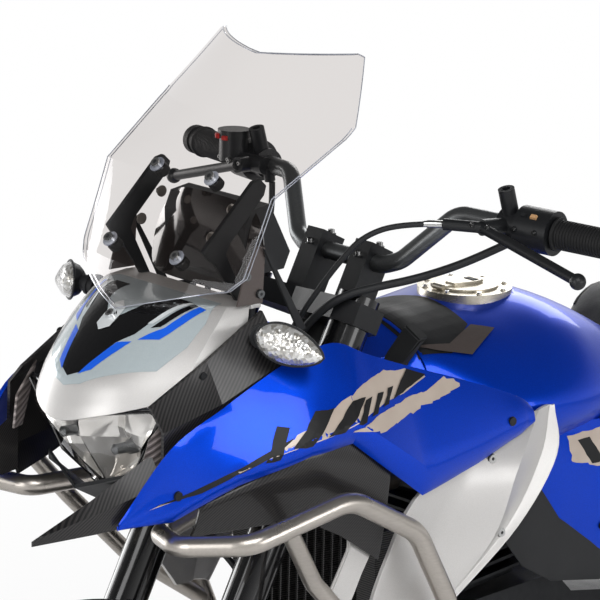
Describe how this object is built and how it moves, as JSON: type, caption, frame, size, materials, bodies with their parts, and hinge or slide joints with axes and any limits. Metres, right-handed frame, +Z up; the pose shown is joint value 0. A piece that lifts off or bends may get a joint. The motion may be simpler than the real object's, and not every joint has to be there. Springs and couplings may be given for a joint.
{
  "type": "adventure motorcycle",
  "caption": "Two-wheeled adventure motorcycle with tall clear screen, beak, crash bars and centre stand; steering, wheels, stands and filler cap move.",
  "frame": {"origin": "on the ground, midway between the front of the front tyre and the rear end", "axes": "+X forwards, +Y to the rider's left, +Z up"},
  "size_m": [2.131, 0.8696, 1.288],
  "materials": {
    "black_rubber": "matte",
    "rim_black": "satin",
    "spoke_steel": "satin",
    "disc_steel": "satin",
    "chain_steel": "satin",
    "fork_black": "gloss",
    "slider_steel": "polished",
    "cast_black": "satin",
    "bar_titanium": "satin",
    "grip_rubber": "matte",
    "control_black": "matte",
    "blue_gloss": "gloss",
    "tank_blue": "gloss",
    "silver_satin": "satin",
    "carbon_black": "satin",
    "black_plastic": "matte",
    "frame_black": "satin",
    "crash_steel": "satin",
    "engine_grey": "satin",
    "exhaust_steel": "satin",
    "radiator_black": "matte",
    "clear_screen": "gloss",
    "lamp_chrome": "polished",
    "lamp_red": "gloss",
    "cap_silver": "satin",
    "seat_vinyl": "matte"
  },
  "bodies": {
    "chassis": {"chain": "chain_steel", "frame": "frame_black", "subframe": "frame_black", "nose_stay": "frame_black", "engine_case": "engine_grey", "cylinder": "engine_grey", "engine_covers": "engine_grey", "exhaust": "exhaust_steel", "skid_plate": "silver_satin", "radiator": "radiator_black", "swingarm": "cast_black", "shock": "spoke_steel", "foot_controls": "cast_black", "fuel_tank": "tank_blue", "filler_ring": "cap_silver", "seat": "seat_vinyl", "shrouds": "blue_gloss", "radiator_panels": "silver_satin", "shroud_liners": "carbon_black", "side_covers": "blue_gloss", "headlight": "lamp_chrome", "nose_cowl": "silver_satin", "nose_sides": "carbon_black", "beak_wings": "carbon_black", "windscreen": "clear_screen", "screen_brackets": "black_plastic", "instrument": "black_plastic", "indicators": "lamp_chrome", "crash_bars": "crash_steel", "rear_rack": "frame_black", "rear_mudguard": "black_plastic", "tail_light": "lamp_red"},
    "steering": {"fork_tubes": "fork_black", "fork_sliders": "slider_steel", "fork_feet": "cast_black", "yokes": "cast_black", "handlebar": "bar_titanium", "grips": "grip_rubber", "hand_controls": "control_black", "front_fender": "black_plastic", "brake_hose": "black_rubber", "cables": "black_rubber"},
    "front_wheel": {"front_tyre": "black_rubber", "front_rim": "rim_black", "front_hub": "spoke_steel", "front_disc": "disc_steel"},
    "rear_wheel": {"rear_tyre": "black_rubber", "rear_rim": "rim_black", "rear_hub": "spoke_steel", "rear_disc": "disc_steel", "rear_sprocket": "chain_steel"},
    "centre_stand": {"centre_stand": "frame_black"},
    "side_stand": {"side_stand": "frame_black"},
    "fuel_cap": {"fuel_cap": "cap_silver"}
  },
  "joints": [
    {"name": "steering", "type": "hinge", "parent": "chassis", "child": "steering", "pos_m": [0.41263, 0, 0.89879], "axis": [-0.4384, 0, 0.8988], "range_deg": [-38, 38], "deforming": ["cables"]},
    {"name": "front_wheel_spin", "type": "hinge", "parent": "steering", "child": "front_wheel", "pos_m": [0.763, 0, 0.304], "axis": [0, 1, 0], "continuous": true},
    {"name": "rear_wheel_spin", "type": "hinge", "parent": "chassis", "child": "rear_wheel", "pos_m": [-0.677, 0, 0.334], "axis": [0, 1, 0], "continuous": true},
    {"name": "centre_stand_fold", "type": "hinge", "parent": "chassis", "child": "centre_stand", "pos_m": [-0.205, 0, 0.3], "axis": [0, 1, 0], "range_deg": [0, 75]},
    {"name": "side_stand_swing", "type": "hinge", "parent": "chassis", "child": "side_stand", "pos_m": [0, 0.15, 0.285], "axis": [0.0185, -0.907, -0.4208], "range_deg": [0, 92]},
    {"name": "fuel_cap_hinge", "type": "hinge", "parent": "chassis", "child": "fuel_cap", "pos_m": [0.209, 0, 0.952], "axis": [0, 1, 0], "range_deg": [0, 90]}
  ]
}
